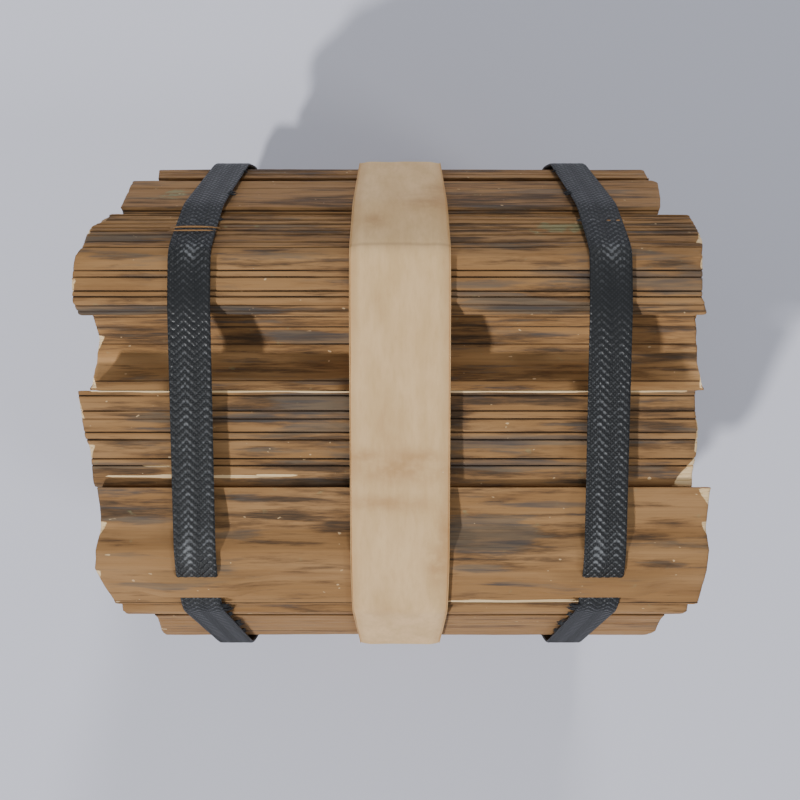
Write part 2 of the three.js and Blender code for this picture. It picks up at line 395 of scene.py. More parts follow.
# rings are even bands of the distance from the pith, which a slow noise makes uneven
def endGrain():
    s = Shader("endGrain")
    look = woodLook
    shifted = s.vectorMath("ADD", s.objectPlace, s.vector("pith"))
    away = s.vectorMath("SUBTRACT", s.objectPlace, s.vector("pith"))
    away = s.vectorMath("MULTIPLY", away, (0, 1, 1))
    wobble = s.times(s.noise(s.objectPlace, (40, 60, 60), 2), look["ringWobble"])
    rings = s.math("DIVIDE", s.plus(s.vectorMath("LENGTH", away), wobble), look["ringWidth"])
    saw = s.math("FRACT", rings)
    late = s.times(s.between(saw, 0.45, 0.92), s.between(saw, 1.0, 0.94))
    tone = s.between(s.noise(s.objectPlace, (40, 40, 40), 3), 0.35, 0.65)
    color = s.mix(tone, look["endTan"], look["paleTan"])
    color = s.over(color, look["ringDark"], late, 0.62)
    # rays and drying cracks depend only on the direction from the pith
    way = s.vectorMath("NORMALIZE", away)
    ray = s.noise(s.vectorMath("ADD", way, s.vector("pith")), (1, 90, 90), 2)
    color = s.over(color, look["ringDark"], s.between(ray, 0.55, 0.7), 0.25)
    crackPlace = s.vectorMath("ADD", way, s.stretched(s.objectPlace, (0, 3.0, 3.0)))
    crack = s.math("SUBTRACT", s.noise(crackPlace, (1, 9, 9), 3, 0.6), 0.5)
    crack = s.between(s.math("ABSOLUTE", crack), 0.010, 0.0025)
    crack = s.times(crack, s.between(s.noise(shifted, (30, 30, 30), 1), 0.50, 0.60))
    color = s.mix(s.between(s.value("endTone"), 0.1, 1.0, 0.0, 0.45), color, look["endPale"])
    color = s.mix(s.between(s.value("endTone"), -0.1, -1.0, 0.0, 0.60), color, look["endGrey"])
    grey = s.between(s.noise(s.objectPlace, (25, 32, 32), 4), 0.45, 0.70)
    color = s.over(color, look["endGrey"], grey, 0.55)
    color = s.over(color, look["grooveDark"], crack, 0.92)
    color = s.over(color, look["fresh"], s.between(s.value("fresh"), 0.4, 0.8), 0.6)
    # fuzz, saw marks and late wood stand up, and cracks go down
    height = s.times(s.noise(s.objectPlace, (900, 900, 900), 3, 0.7), 0.35)
    height = s.plus(height, s.times(s.noise(shifted, (200, 40, 700), 2), 0.4))
    height = s.plus(height, s.times(late, 0.35))
    height = s.math("SUBTRACT", height, s.times(crack, 2.5))
    return s.finish(color, look["endRoughness"], s.bump(height, look["endBump"], 0.8), look["endGloss"])


splitWoodMaterial = splitWood()
endGrainMaterial = endGrain()
print("wood ready")


# What all logs share. Cap shares are the rings of a sawn end, from its rim in; end rows are depths in
# mm from the rim. The columns near a line lie at these counts of line widths from it. Each roughness
# is a depth, cells along the log, mm around it per cell, and the fewest cells around. A pair of limits
# is where something starts and is full.
logShape = {
    "rowStep": 3.6 * mm, "columnStep": 0.95 * mm, "columnGap": 0.08 * mm, "loopPoints": 900,
    "softPasses": 9, "normalPasses": 14,
    "capShares": (0.985, 0.95, 0.88, 0.78, 0.66, 0.54, 0.42, 0.30, 0.18, 0.08),
    "endRows": (0.0, 0.7, 1.6, 3.0, 5.0, 7.5), "trimFade": (16 * mm, 8 * mm),
    "lineWidth": 0.60 * mm, "nearLine": (-1.6, -0.9, -0.35, 0.0, 0.35, 0.9, 1.6), "notchShare": 0.62,
    "lineRoom": 4 * mm, "startRoom": 2 * mm, "preferHigh": 0.1,
    "spareStrength": (0.45, 0.9), "placedStrength": 0.8, "faintStrength": 0.55,
    "faintLimits": (-0.55, -0.15),
    "start": -0.25 * mm,
    "rough": {"bulge": (0.5 * mm, 5, 17, 3), "fibre": (0.18 * mm, 22, 1.6, 8),
              "coarseFibre": (0.25 * mm, 9, 4.5, 6)},
    "chipWidth": 9, "chipLimits": (0.50, 0.88), "chipDepth": 1.6 * mm, "chipReach": 4.5 * mm,
    "chipShift": 1.4 * mm, "shiftReach": 2.5 * mm, "freshLimits": (0.15, 0.5),
    "rimRound": 0.5 * mm, "rimReach": 1.2 * mm,
    "brokenDepth": 0.5 * mm, "brokenLimits": (0.4, 0.7), "brokenRagged": 0.3, "freshSlope": 6,
    "freshFade": 3 * mm, "freshWander": 0.22, "freshEdge": (0.5, 1.5),
    "sawRough": 0.25 * mm, "sawFrom": 0.86, "pithReach": 45 * mm, "leastLift": 0.25,
}

# What sets each log apart. Lines are grooves, by the Y where they show on top, in mm; depth and step
# are in mm. Marks are (X, Y, half length, half width, strength) in mm on the upper side. Fresh
# lines are (Y, from X, to X, half width); broken corners are (end, Y at the tip, Y at the base, depth).
# Trims are (Y, shift along X) pairs, for how far the sawn end's upper rim is out of line. Swell is
# Y where it starts and is full, the same for Z, and how much. Lift is Y where the wood is lit, and Y
# where it lies in shade; it makes the wood a little paler all over, as its own tone, and fully paler in
# the shade, as painted light. More weather gives more dark and grey streaks.
logs = {
    "log_top_back": {
        "lines": (104.5, 101.5, 98.6, 95.8, 93.6, 90.9, 85.9, 82.3, 69.1, 65.8, 58.3, 55.3, 50.3, 47.7),
        "depth": 1.5, "step": 0.8, "spareLines": 14, "weather": 0.048, "chips": 0,
        "broken": ((-1, 57, 64.5, 2.4), (1, 92.5, 86, 3.6), (1, 78, 70, 1.5), (-1, 98, 92, 1.6)),
        "leftTrim": ((103, 8), (101, 7), (99, 3), (97, 1), (92, 1), (88, 2), (83, 3), (78, 1), (73, 0),
                     (62, -1), (50, 0)),
        "rightTrim": ((88, 1.5), (83, -0.6), (79, -2.2), (54, -2.6), (50, -0.5), (47, 2)),
        "marks": {"dark": ((0, 94, 170, 4, 0.35), (120, 84, 50, 16, 0.3), (138, 73, 22, 4, 1.2),
                           (140, 84, 22, 2.5), (130, 92, 30, 2), (-135, 48.3, 46, 1.5, 1.7),
                           (-82, 50.3, 18, 1.0, 1.3), (-80, 47.7, 22, 1.5, 1.6),
                           (-40, 48.8, 26, 1.2, 1.1), (62, 54.5, 34, 1.4, 1.0), (66, 49.5, 36, 1.8, 1.4),
                           (30, 86, 50, 2.5), (112, 66, 20, 3.5), (-130, 88, 34, 2.5), (-70, 80, 14, 2),
                           (-60, 92, 34, 1.6), (150, 70, 12, 3), (152, 92, 20, 5), (40, 97, 60, 3),
                           (140, 98, 26, 3), (-137, 63.4, 17, 2.4, 0.9), (-138, 54.8, 18, 1.8, 0.9),
                           (-142, 77, 20, 2.2, 0.9)),
                  "grey": ((-140, 88, 34, 9, 0.5), (120, 70, 50, 22, 0.35), (-135, 50.4, 40, 1.6, 0.9),
                           (-86, 49, 16, 2.2, 0.9), (40, 61, 18, 3), (48, 57.0, 26, 3.0, 1.1),
                           (60, 52.3, 30, 2.4, 0.9), (60, 51, 34, 2.0), (-80, 101, 40, 1.5)),
                  "lichen": ((87, 95, 14, 5.5, 1.15), (104, 84, 4, 8))},
    },
    "log_top_sunken": {
        "lines": (47.0, 42.0, 33.5, 13.0), "depth": 0.8, "step": 0.5, "spareLines": 8,
        "lift": (34, 24), "weather": 0.034, "chips": 0,
        "broken": ((-1, 29, 37.5, 3.2), (-1, 15, 9, 3.4), (1, 16, 9, 2)),
        "leftTrim": ((37, -0.5), (29, -2), (20, -2.6), (12, -2)),
        "rightTrim": ((46, -2.5), (40, 0), (32, 1.6), (12, 1.6)),
        "marks": {"dark": ((70, 38, 60, 9, 0.5), (-62, 20, 26, 4, 0.7), (-20, 16, 30, 6, 0.6),
                           (-60, 37, 40, 2.0), (-140, 38, 26, 2.4), (-62, 19, 34, 2.6),
                           (50, 36, 34, 2.6), (80, 30, 24, 3), (60, 15, 60, 2), (150, 42, 20, 3),
                           (148, 27, 20, 3)),
                  "grey": ((-48, 36, 24, 2.6), (-40, 12, 20, 2))},
    },
    "log_top_front": {
        "lines": (4.2, -3.9, -8.1, -15.2, -19.4, -29.5, -33.4), "depth": 1.3, "step": 0.7,
        "spareLines": 14, "weather": 0.060, "chips": 0, "swell": (-38, -43, 272, 284, 1.5),
        "broken": ((-1, -30, -22, 3.4), (1, -28, -44, 11), (1, -6, -26, 1.6), (-1, 3, -8, 1.4)),
        "leftTrim": ((5, -2.1), (-5, -1), (-14, 0.3), (-18, 0.6), (-22.7, 2.6), (-27, 3.1), (-40, 3.4),
                     (-45, 4.5)),
        "rightTrim": ((2, -1.5), (-5, -1), (-14, 0.8), (-24, 0.8), (-38, -1), (-45, -1)),
        "marks": {"dark": ((-45, -18, 48, 24, 0.50), (-50, 3, 34, 1.5), (-70, -8, 40, 2),
                           (-56, -33, 36, 3), (-40, -42, 46, 2.6), (28, -8, 10, 6, 2.0), (60, 1, 60, 2),
                           (40, -36, 30, 2.6), (-140, -3, 26, 2), (130, -3, 24, 1.6),
                           (-60, -24, 30, 1.5), (-137, -6, 24, 2.8, 1.1), (-136, -20, 22, 2.6, 0.9),
                           (-134, -27, 20, 2.2, 0.8), (-140, -36, 24, 2.4, 1.0),
                           (130, -12, 20, 2.4, 0.8), (124, -36, 18, 2.6, 0.9), (132, -23, 18, 2.2, 0.7)),
                  "grey": ((-45, -20, 50, 20, 0.25), (-44, 1.5, 28, 3.0), (-40, -13, 22, 3.4),
                           (70, -19, 46, 2.2), (60, -33, 46, 3.0), (-140, -33, 26, 2),
                           (-134, -8.4, 22, 1.6, 0.9))},
        "fresh": ((7.2, -164, 152, 1.3), (-39.2, -158, -76, 0.8), (-38.6, -77, -54, 0.65),
                  (-33.6, -138, -114, 0.4)),
    },
    "log_front_shoulder": {
        "lines": (-110.0,), "depth": 0.5, "step": 0.35, "spareLines": 6,
        "arches": True, "reach": 0.1585, "weather": -0.008, "chips": 0,
        "broken": ((1, -54.5, -45, 7), (1, -70, -63.5, 3.2), (-1, -71, -63.5, 3.4), (-1, -95, -89.5, 3.2)),
        "leftTrim": ((-60, 0), (-70, -1), (-83, -2.1), (-88, -3.2), (-92, -2.7), (-102, 0), (-108, 2.2)),
        "marks": {"dark": ((-146, -59, 28, 4.2, 1.5), (85, -62, 60, 16, 0.35), (31, -71, 8, 4.5, 2.2),
                           (75, -60, 30, 2.5), (-60, -60, 26, 2.4), (-45, -76, 20, 2),
                           (132, -54, 22, 2.2), (132, -72, 22, 2), (60, -98, 30, 1.5), (-30, -66, 14, 3),
                           (-60, -51, 34, 2), (142, -64, 16, 2.4, 0.9), (140, -86, 18, 2.4, 0.8),
                           (88, -84, 20, 2.4, 0.8)),
                  "grey": ((-132, -63, 26, 2.6, 0.7), (46, -71, 26, 7, 1.8), (80, -54, 30, 2),
                           (42, -88, 13, 2.2), (-128, -98, 26, 2), (-105, -88, 16, 2))},
        "fresh": ((-108.8, 26, 100, 0.9),),
    },
    "slat_front": {"depth": 0.4, "step": 0.2, "spareLines": 4, "weather": 0.0},
    "log_front_upper": {
        "depth": 0.7, "step": 0.5, "spareLines": 12, "chips": 0.5, "weather": -0.012,
        "broken": ((-1, -151, -144, 4),), "leftTrim": ((0, -1.2),), "rightTrim": ((0, 2.6),),
        "marks": {"dark": ((60, -140, 40, 3, 0.5),)},
    },
    "log_front_middle": {"depth": 1.1, "step": 0.7, "spareLines": 20},
    "log_front_lower": {"depth": 0.8, "step": 0.5, "spareLines": 14},
    "log_front_foot": {"depth": 0.9, "step": 0.5, "spareLines": 16},
    "log_bottom_front": {"depth": 0.8, "step": 0.4, "spareLines": 16},
    "log_bottom_back": {"depth": 1.0, "step": 0.5, "spareLines": 18},
    "log_back_foot": {"depth": 0.7, "step": 0.4, "spareLines": 14},
    "log_back_lower": {"depth": 1.2, "step": 0.7, "spareLines": 20},
    "log_back_middle": {"depth": 0.8, "step": 0.5, "spareLines": 16},
    "log_back_upper": {
        "depth": 1.0, "step": 0.6, "spareLines": 20, "chips": 0.3,
        "leftTrim": ((157, 1), (141, 3)), "rightTrim": ((157, 3.2), (150, 0), (143, -3.8)),
        "marks": {"dark": ((40, 150, 50, 4), (-80, 150, 50, 3))},
    },
    "log_back_shoulder": {
        "lines": (108.5, 131.0), "depth": 0.6, "step": 0.35, "spareLines": 8, "weather": 0.010,
        "chips": 0.2, "rightTrim": ((138, 4.6), (130, 3.6), (120, 2.2), (111, 0)),
        "marks": {"lichen": ((-132, 124.5, 8, 6, 1.05),),
                  "dark": ((-45, 114, 26, 3), (-50, 118, 22, 3), (80, 121, 50, 4), (-90, 131, 50, 2),
                           (60, 112, 40, 3)),
                  "grey": ((100, 126, 40, 3),)},
    },
    "core_top_front": {}, "core_top_back": {}, "core_front": {}, "core_middle": {},
    "core_back_upper": {}, "core_back_lower": {}, "core_low_front": {}, "core_bottom_front": {},
    "core_low_back": {}, "core_bottom_back": {},
}
plainLog = {
    "lines": (), "depth": 0.9, "step": 0.5, "spareLines": 10, "weather": 0.018, "chips": 1.0,
    "marks": {}, "fresh": (), "broken": (), "leftTrim": ((0, 0),), "rightTrim": ((0, 0),),
    "arches": False, "reach": 0.12, "lift": None, "swell": (0, -1, 0, 1, 0),
}
coreCoarseness = 2.6  # logs inside the stack show only their ends

# the skin's arches over the straps: half lengths along X, and Y in mm where they start and end
strapNames = ("strap_left", "strap_right")
arch = {
    "halfFoot": 42 * mm, "halfCrown": 15 * mm, "rise": 6.6 * mm, "yStart": -88.6, "yTop": -93.4,
    "yFoot": -101.2,
}


# the sawn end of a log as a slanted plane: X is a constant plus a share of Y and a share of Z
def sawnEnd(ring):
    plane = np.column_stack([np.ones(len(ring)), ring[:, 1:]])
    return np.linalg.lstsq(plane, ring[:, 0], rcond=None)[0]


# where along a log's section its upper side crosses a given Y; of several crossings, the highest
def lengthAtY(log, y):
    height = log.loop[:, 1]
    miss = np.abs(log.loop[:, 0] - y * mm) + logShape["preferHigh"] * (height.max() - height)
    nearest = np.argmin(np.where(height > height.mean(), miss, np.inf))
    return nearest / len(log.loop) * log.total


# values at the points of a closed line, read off by straight lines between them
def readLoop(values, at):
    wrapped = np.vstack([values, values[:1]])
    return np.column_stack([np.interp(at, np.arange(len(wrapped)), wrapped[:, k]) for k in (0, 1)])


# the shorter way round from one length along the section to another, with its sign
def apartAround(log, here, there):
    return (here - there + log.total / 2) % log.total - log.total / 2


# split lines, as lengths along the section: the placed ones, and spare ones on the sides and below
def placeLines(log):
    placed = np.array([lengthAtY(log, y) for y in log.style["lines"]])
    spare = log.rng.uniform(0, log.total, log.style["spareLines"])
    if len(placed):
        gap = np.abs(apartAround(log, spare[:, None], placed[None])).min(1)
        height = log.loop[(spare / log.total * len(log.loop)).astype(int) % len(log.loop), 1]
        spare = spare[(gap > logShape["lineRoom"]) & (height <= log.loop[:, 1].mean())]
    lines = np.sort(np.concatenate([placed, spare]) % log.total)
    room = logShape["startRoom"]
    log.placed, log.lines = placed, lines[(lines > room) & (lines < log.total - room)]
    log.archEdges = []
    if log.style["arches"]:
        log.archEdges = [lengthAtY(log, arch[key]) for key in ("yStart", "yTop", "yFoot")]


# columns stand at even steps along the section, and closer on both sides of each line
def placeColumns(log):
    width = logShape["lineWidth"]
    near = np.array(logShape["nearLine"]) * width
    columns = [np.arange(0, log.total, logShape["columnStep"] * log.coarse)]
    columns.append((log.lines[:, None] + near[None]).ravel() % log.total)
    columns += [np.array([edge - width, edge, edge + width]) % log.total for edge in log.archEdges]
    columns = np.unique(np.round(np.concatenate(columns), 5))
    log.columns = columns[np.concatenate([[True], np.diff(columns) > logShape["columnGap"]])]


# A log before any relief: its section, from the middle of the CAD log, carried along X in rows from
# one sawn plane to the other. The rows stand closer near both ends.
def layOutLog(name, index):
    log = SimpleNamespace(name=name, seed=100 + 10 * index, style={**plainLog, **logs[name]})
    log.rng = np.random.default_rng(log.seed)
    log.coarse = coreCoarseness if name.startswith("core") else 1.0
    reach = log.style["reach"]
    left, right = nodeRing(name, -np.inf, -reach), nodeRing(name, reach, np.inf)
    middle = nodeRing(name, -settings["middleReach"], settings["middleReach"])
    loop, log.total = evenLoop(middle[:, 1:], logShape["loopPoints"])
    log.loop = softLoop(loop, logShape["softPasses"])
    normals = softLoop(loopNormals(log.loop), logShape["normalPasses"])
    normals /= np.linalg.norm(normals, axis=1, keepdims=True)
    log.centre = middle[:, 1:].mean(0)
    log.endSize = np.std(left[:, 1:]) / np.std(middle[:, 1:])
    placeLines(log)
    placeColumns(log)
    at = log.columns / log.total * len(log.loop)
    log.ring, log.out = readLoop(log.loop, at), readLoop(normals, at)

    log.planes = [sawnEnd(left), sawnEnd(right)]
    low, high = (log.centre[1] - depth for depth in logShape["trimFade"])
    upper = ease(low, high, log.ring[:, 1])
    log.trims = []
    for trim in (log.style["leftTrim"], log.style["rightTrim"]):
        places, amounts = np.array(sorted(trim)).T * mm
        log.trims.append(upper * np.interp(log.ring[:, 0], places, amounts))
    endX = [plane[0] + log.ring @ plane[1:] + trim for plane, trim in zip(log.planes, log.trims)]
    span = float(np.mean(endX[1] - endX[0]))
    edgeRows = np.array(logShape["endRows"]) * mm / span
    steps = int(span / (logShape["rowStep"] * log.coarse))
    inner = np.linspace(edgeRows[-1], 1 - edgeRows[-1], steps)[1:-1]
    log.rows = np.concatenate([edgeRows, inner, 1 - edgeRows[::-1]])[:, None]
    log.x = endX[0] + log.rows * (endX[1] - endX[0])
    log.fromEnd = np.minimum(log.x - endX[0], endX[1] - log.x)
    log.v = (log.columns / log.total)[None]
    return log


# smooth random heights over a log's skin, in cells of a share of its length by some mm around it
def skinNoise(log, number, cellsAlong, cellWidth, fewest):
    cells = max(fewest, int(log.total / mm / cellWidth))
    rows, v = log.rows + 0 * log.v, log.v + 0 * log.rows
    return latticeNoise(log.seed + number, rows, v, cellsAlong, cells)


# one random height for each split line and row
def lineNoise(log, number, cellsAlong):
    count = len(log.lines)
    across = np.arange(count)[None] + 0 * log.rows
    return latticeNoise(log.seed + number, log.rows + 0 * across, (across + 0.5) / count, cellsAlong, count)


# how far the skin lies below the section: a slow bulge, and two sizes of fibre
def roughSkin(log):
    inward = logShape["start"]
    for number, (depth, *cells) in enumerate(logShape["rough"].values(), 1):
        inward = inward + depth * (0.5 - 0.5 * skinNoise(log, number, *cells))
    return inward


# Between two lines the split face lies at its own level, and steps to the next within a line's width.
# Each line is a notch, the exponential of minus its distance squared.
def splitFaces(log):
    style, width = log.style, logShape["lineWidth"]
    placed, faint = logShape["placedStrength"], logShape["faintStrength"]
    level = 0.5 * style["step"] * mm * (1 + lineNoise(log, 4, 3))
    gates = faint + (1 - faint) * ease(*logShape["faintLimits"], lineNoise(log, 5, 7))
    strength = log.rng.uniform(*logShape["spareStrength"], len(log.lines))
    if len(log.placed):
        isPlaced = np.abs(log.lines[:, None] - log.placed[None] % log.total).min(1) < 1e-7
        strength = np.where(isPlaced, placed + (1 - placed) * strength, strength)
    log.groove = np.zeros_like(log.x)
    inward = np.broadcast_to(level[:, -1:], log.x.shape)
    for k, line in enumerate(log.lines):
        rise = level[:, [k]] - level[:, [k - 1]]
        inward = inward + rise * ease(line - width, line + width, log.columns)
        apart = apartAround(log, log.columns, line)
        notch = np.exp(-(apart / (logShape["notchShare"] * width)) ** 2) * strength[k]
        log.groove = np.maximum(log.groove, notch * gates[:, [k]])
    return inward + style["depth"] * mm * log.groove


# Chips break the rims of the sawn ends here and there, and the placed broken corners are ramps from
# the base to the tip. Both leave fresh wood, and both rims are worn round.
def brokenRims(log):
    shape, atRight = logShape, log.rows > 0.5
    cells = max(4, int(log.total / mm / shape["chipWidth"]))
    chip = latticeNoise(log.seed + 6, atRight + 0 * log.v, log.v + 0 * log.rows, 1, cells)
    chip = ease(*shape["chipLimits"], chip) * log.style["chips"]
    rim = 1 - ease(0, shape["chipReach"], log.fromEnd)
    inward = chip * rim * shape["chipDepth"]
    inward = inward + shape["rimRound"] * (1 - ease(0, shape["rimReach"], log.fromEnd))
    log.fresh = ease(*shape["freshLimits"], chip * rim)
    ragged = shape["brokenRagged"] * skinNoise(log, 9, 60, 2, 4)
    for side, yTip, yBase, depth in log.style["broken"]:
        share = (log.ring[:, 0] / mm - yTip) / (yBase - yTip)
        past = log.fromEnd / mm - depth * np.clip(share, 0, 1) + ragged
        inside = np.minimum(np.minimum(share, 1 - share) * abs(yBase - yTip), -past)
        isHere = (log.ring[:, 1] > log.centre[1]) & (atRight == (side > 0))
        cut = np.clip(0.5 + inside / shape["freshSlope"], 0, 1) * isHere
        log.fresh = np.maximum(log.fresh, cut)
        inward = inward + shape["brokenDepth"] * ease(*shape["brokenLimits"], cut)
    shift = chip * (1 - ease(0, shape["shiftReach"], log.fromEnd)) * shape["chipShift"]
    log.x = log.x + np.where(atRight, -shift, shift)
    return inward


# the skin stands up in an eased arch over each strap
def raiseArches(log):
    log.raised = np.zeros_like(log.x)
    if log.style["arches"]:
        start, top, foot = log.archEdges
        width = logShape["lineWidth"]
        across = ease(start, top, log.columns) * (1 - ease(foot - width, foot + width, log.columns))
        for strap in strapNames:
            low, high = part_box(strap)
            away = np.abs(log.x - (low.x + high.x) / 2)
            lift = 1 - ease(arch["halfCrown"], arch["halfFoot"], away)
            log.raised = log.raised + lift * across * arch["rise"]


# one corner of the section may stand a little prouder, eased along Y and along Z
def swollenCorner(log):
    yStart, yFull, zStart, zFull, amount = np.array(log.style["swell"]) * mm
    return amount * ease(-yStart, -yFull, -log.ring[:, 0]) * ease(zStart, zFull, log.ring[:, 1])


# pale split edges: within half a width of the line, between two places along X, a little wandering
def freshLines(log):
    fade = logShape["freshFade"]
    for y, xFrom, xTo, half in log.style["fresh"]:
        apart = np.abs(log.columns - lengthAtY(log, y)) / (half * mm)
        wander = latticeNoise(log.seed + 7, log.rows, 0 * log.rows, 24, 3)
        outside = ease(*logShape["freshEdge"], apart + logShape["freshWander"] * wander)
        along = ease(xFrom * mm - fade, xFrom * mm + fade, log.x)
        along = along * (1 - ease(xTo * mm - fade, xTo * mm + fade, log.x))
        log.fresh = np.maximum(log.fresh, along * (1 - outside))


# a sawn end: its rim drawn in to the middle in rings, on the saw's plane, a little rough
def sawnCap(log, skin, end):
    side, rim = (-1, skin[0]) if end == 0 else (1, skin[-1])
    shares = log.shares[:, None]
    middlePoint = np.array([0, *log.centre])
    cap = middlePoint + shares[..., None] * (rim - middlePoint)
    plane = log.planes[end]
    sawn = plane[0] + cap[..., 1:] @ plane[1:] + shares * log.trims[end]
    rough = latticeNoise(log.seed + 8 + side, shares + 0 * log.v, log.v + 0 * shares, 8, 24)
    sawn = sawn - side * ease(1.0, 0.9, shares) * logShape["sawRough"] * (1 + rough)
    rimShare = ease(logShape["sawFrom"], 1.0, shares)
    cap[..., 0] = sawn * (1 - rimShare) + rim[:, 0] * rimShare
    return cap


# the whole closed surface: one cap, the skin and the other cap as one grid, with a fan at each pole
def logMesh(log, skin):
    log.shares = np.array(logShape["capShares"])[:: 1 if log.coarse == 1 else 2]
    caps = [sawnCap(log, skin, 0), sawnCap(log, skin, 1)]
    body = np.concatenate([caps[0][::-1], skin, caps[1]])
    rowCount, columnCount = body.shape[:2]
    poles = np.array([caps[0][-1].mean(0), caps[1][-1].mean(0)])
    grid = np.arange(rowCount * columnCount).reshape(rowCount, columnCount)
    beside = np.roll(grid, -1, 1)
    quads = np.stack([grid[:-1], beside[:-1], beside[1:], grid[1:]], axis=-1).reshape(-1, 4)
    fans = np.concatenate([
        np.column_stack([np.full(columnCount, grid.size), beside[0], grid[0]]),
        np.column_stack([grid[-1], beside[-1], np.full(columnCount, grid.size + 1)])])
    capRows = len(log.shares)
    isCap = np.ones(rowCount - 1)
    isCap[capRows:rowCount - 1 - capRows] = 0
    points = np.concatenate([body.reshape(-1, 3), poles])
    return arrayMesh(log.name + "_split", points, quads, fans, [splitWoodMaterial, endGrainMaterial],
                     np.repeat(isCap, columnCount), np.ones(len(fans)))


# skin values for every point of the mesh: nothing on the caps and at the poles
def spread(log, values):
    cap = np.zeros((len(log.shares), values.shape[1]))
    return np.concatenate([np.concatenate([cap, values, cap]).ravel(), [0, 0]])


# what the materials read by name: marks, grooves, fresh wood, and numbers set by chance for each log
def markLog(log, skin, mesh):
    count = len(mesh.vertices)
    for kind, spots in log.style["marks"].items():
        values = markAmount(spots, log.x, skin[..., 1], skin[..., 2] > log.centre[1])
        vertexValue(mesh, kind + "Mark", spread(log, values))
    vertexValue(mesh, "groove", spread(log, log.groove))
    vertexValue(mesh, "fresh", spread(log, log.fresh))
    vertexValue(mesh, "weather", np.full(count, log.style["weather"]))
    # painted light on a log that lies partly in shade: the least lift where it is lit, as its own tone, and
    # full lift where it is shaded
    if log.style["lift"]:
        lit, unlit = np.array(log.style["lift"]) * mm
        far = ease(unlit, lit, skin[..., 1])
        vertexValue(mesh, "lift", spread(log, 1 - (1 - logShape["leastLift"]) * far))
    # the grain's pattern is taken from straight below, where the wood would lie without its arches
    spot = np.tile(log.rng.uniform(-1, 1, 3), (count, 1))
    spot[:, 2] -= spread(log, log.raised / np.maximum(log.out[:, 1], 0.5))
    vertexValue(mesh, "grainShift", spot)
    vertexValue(mesh, "endTone", np.full(count, log.rng.uniform(-1, 1)))
    pith = np.array([0, *(log.centre + log.rng.uniform(-1, 1, 2) * logShape["pithReach"])])
    vertexValue(mesh, "pith", np.broadcast_to(pith, (count, 3)))


# A log is its section carried along X, swollen at the middle as the CAD log is, and its skin goes in
# or out along the section's normal by the reliefs above.
def makeLog(name, index):
    log = layOutLog(name, index)
    inward = roughSkin(log) + splitFaces(log) + brokenRims(log)
    raiseArches(log)
    inward = inward - log.raised - swollenCorner(log)
    freshLines(log)
    size = 1 + (log.endSize - 1) * np.abs(2 * log.rows - 1)
    flat = log.centre + size[..., None] * (log.ring - log.centre) - inward[..., None] * log.out
    skin = np.concatenate([log.x[..., None], flat], axis=2)
    mesh = logMesh(log, skin)
    markLog(log, skin, mesh)
    addPiece(name + "_split", mesh, "split_wood", name)


for index, name in enumerate(logs):
    makeLog(name, index)
print("logs ready:", len(logs))

# Both strips: where they overlap and how far the lap runs out, how wide their darker edges are, what
# share of the thickness counts as face, and what tells the CAD loop's outer faces from the others.
loopShape = {
    "seamY": 0.083, "lapReach": 45 * mm, "lapLip": 0.5 * mm, "seamWidth": 0.45 * mm,
    "edgeWidth": 7 * mm, "faceShare": 0.2, "marksAbove": 0.2, "leastOutward": 0.02, "mostSideways": 0.05,
}
# marks are (X from the middle, Y, half length, half width, strength) in mm on the upper side; the
# shine marks are painted highlights on the braid, and the dull marks dim its painted glints
strapShape = {
    "alongStep": 0.68 * mm, "faceColumns": 44, "edgeColumns": 4, "backColumns": 6, "softPasses": 9,
    "thick": 2.6 * mm, "round": 1.0 * mm, "seamStep": 0.45 * mm, "shift": {"strap_right": 2.3 * mm},
    "rib": 0.22 * mm, "ribStart": 0.1 * mm, "pitch": 4.1 * mm, "columnWidth": 10.5 * mm,
    "firstApex": 8.3 * mm,
    "marks": {"paintedShine": ((-3.4, -77, 3.6, 10.5), (-3.4, -62, 4.5, 22, 0.40), (6.2, -72, 4.0, 11, 0.36),
                        (1, 79, 4.2, 6.0, 0.85), (-3.2, -20, 5, 50, 0.26), (6.5, -30, 4, 40, 0.12)),
              "dull": ((0, 53, 40, 24),)},
}
bandShape = {
    "alongStep": 2.0 * mm, "faceColumns": 60, "edgeColumns": 9, "backColumns": 14, "softPasses": 2,
    "thick": 3.5 * mm, "round": 1.5 * mm, "seamStep": 0.35 * mm, "shift": {},
    "crown": 0.9 * mm, "crownFrom": 0.36, "wander": 0.25 * mm, "wanderShare": 0.9, "wanderCells": (40, 6),
    "marks": {"stainMark": ((-20, -27, 16, 4), (8, -28, 16, 5), (0, -34, 30, 8), (-6, -52, 24, 5),
                            (2, -30, 4, 2.5), (16, 112, 16, 9), (22, 124, 10, 6), (-14, 98, 8, 6),
                            (20, -84, 8, 14), (24, -70, 5, 20))},
}


# the outer line of a CAD loop, as Y and Z: the points of its faces that look away from the middle
def outerLine(name):
    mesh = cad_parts[name].data
    co = meshNumbers(mesh.vertices, "co", 3)
    normals = meshNumbers(mesh.polygons, "normal", 3)
    centres = meshNumbers(mesh.polygons, "center", 3)
    corners = meshNumbers(mesh.loops, "vertex_index", 1, np.int32).reshape(-1, 3)
    low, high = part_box(name)
    middle = np.array([(low.y + high.y) / 2, (low.z + high.z) / 2])
    outward = np.einsum("ij,ij->i", normals[:, 1:], centres[:, 1:] - middle)
    isOuter = (outward > loopShape["leastOutward"]) & (np.abs(normals[:, 0]) < loopShape["mostSideways"])
    points = np.unique(np.round(co[corners[isOuter].ravel()][:, 1:], 6), axis=0)
    turn = np.arctan2(points[:, 1] - middle[1], points[:, 0] - middle[0])
    return points[np.argsort(turn)]


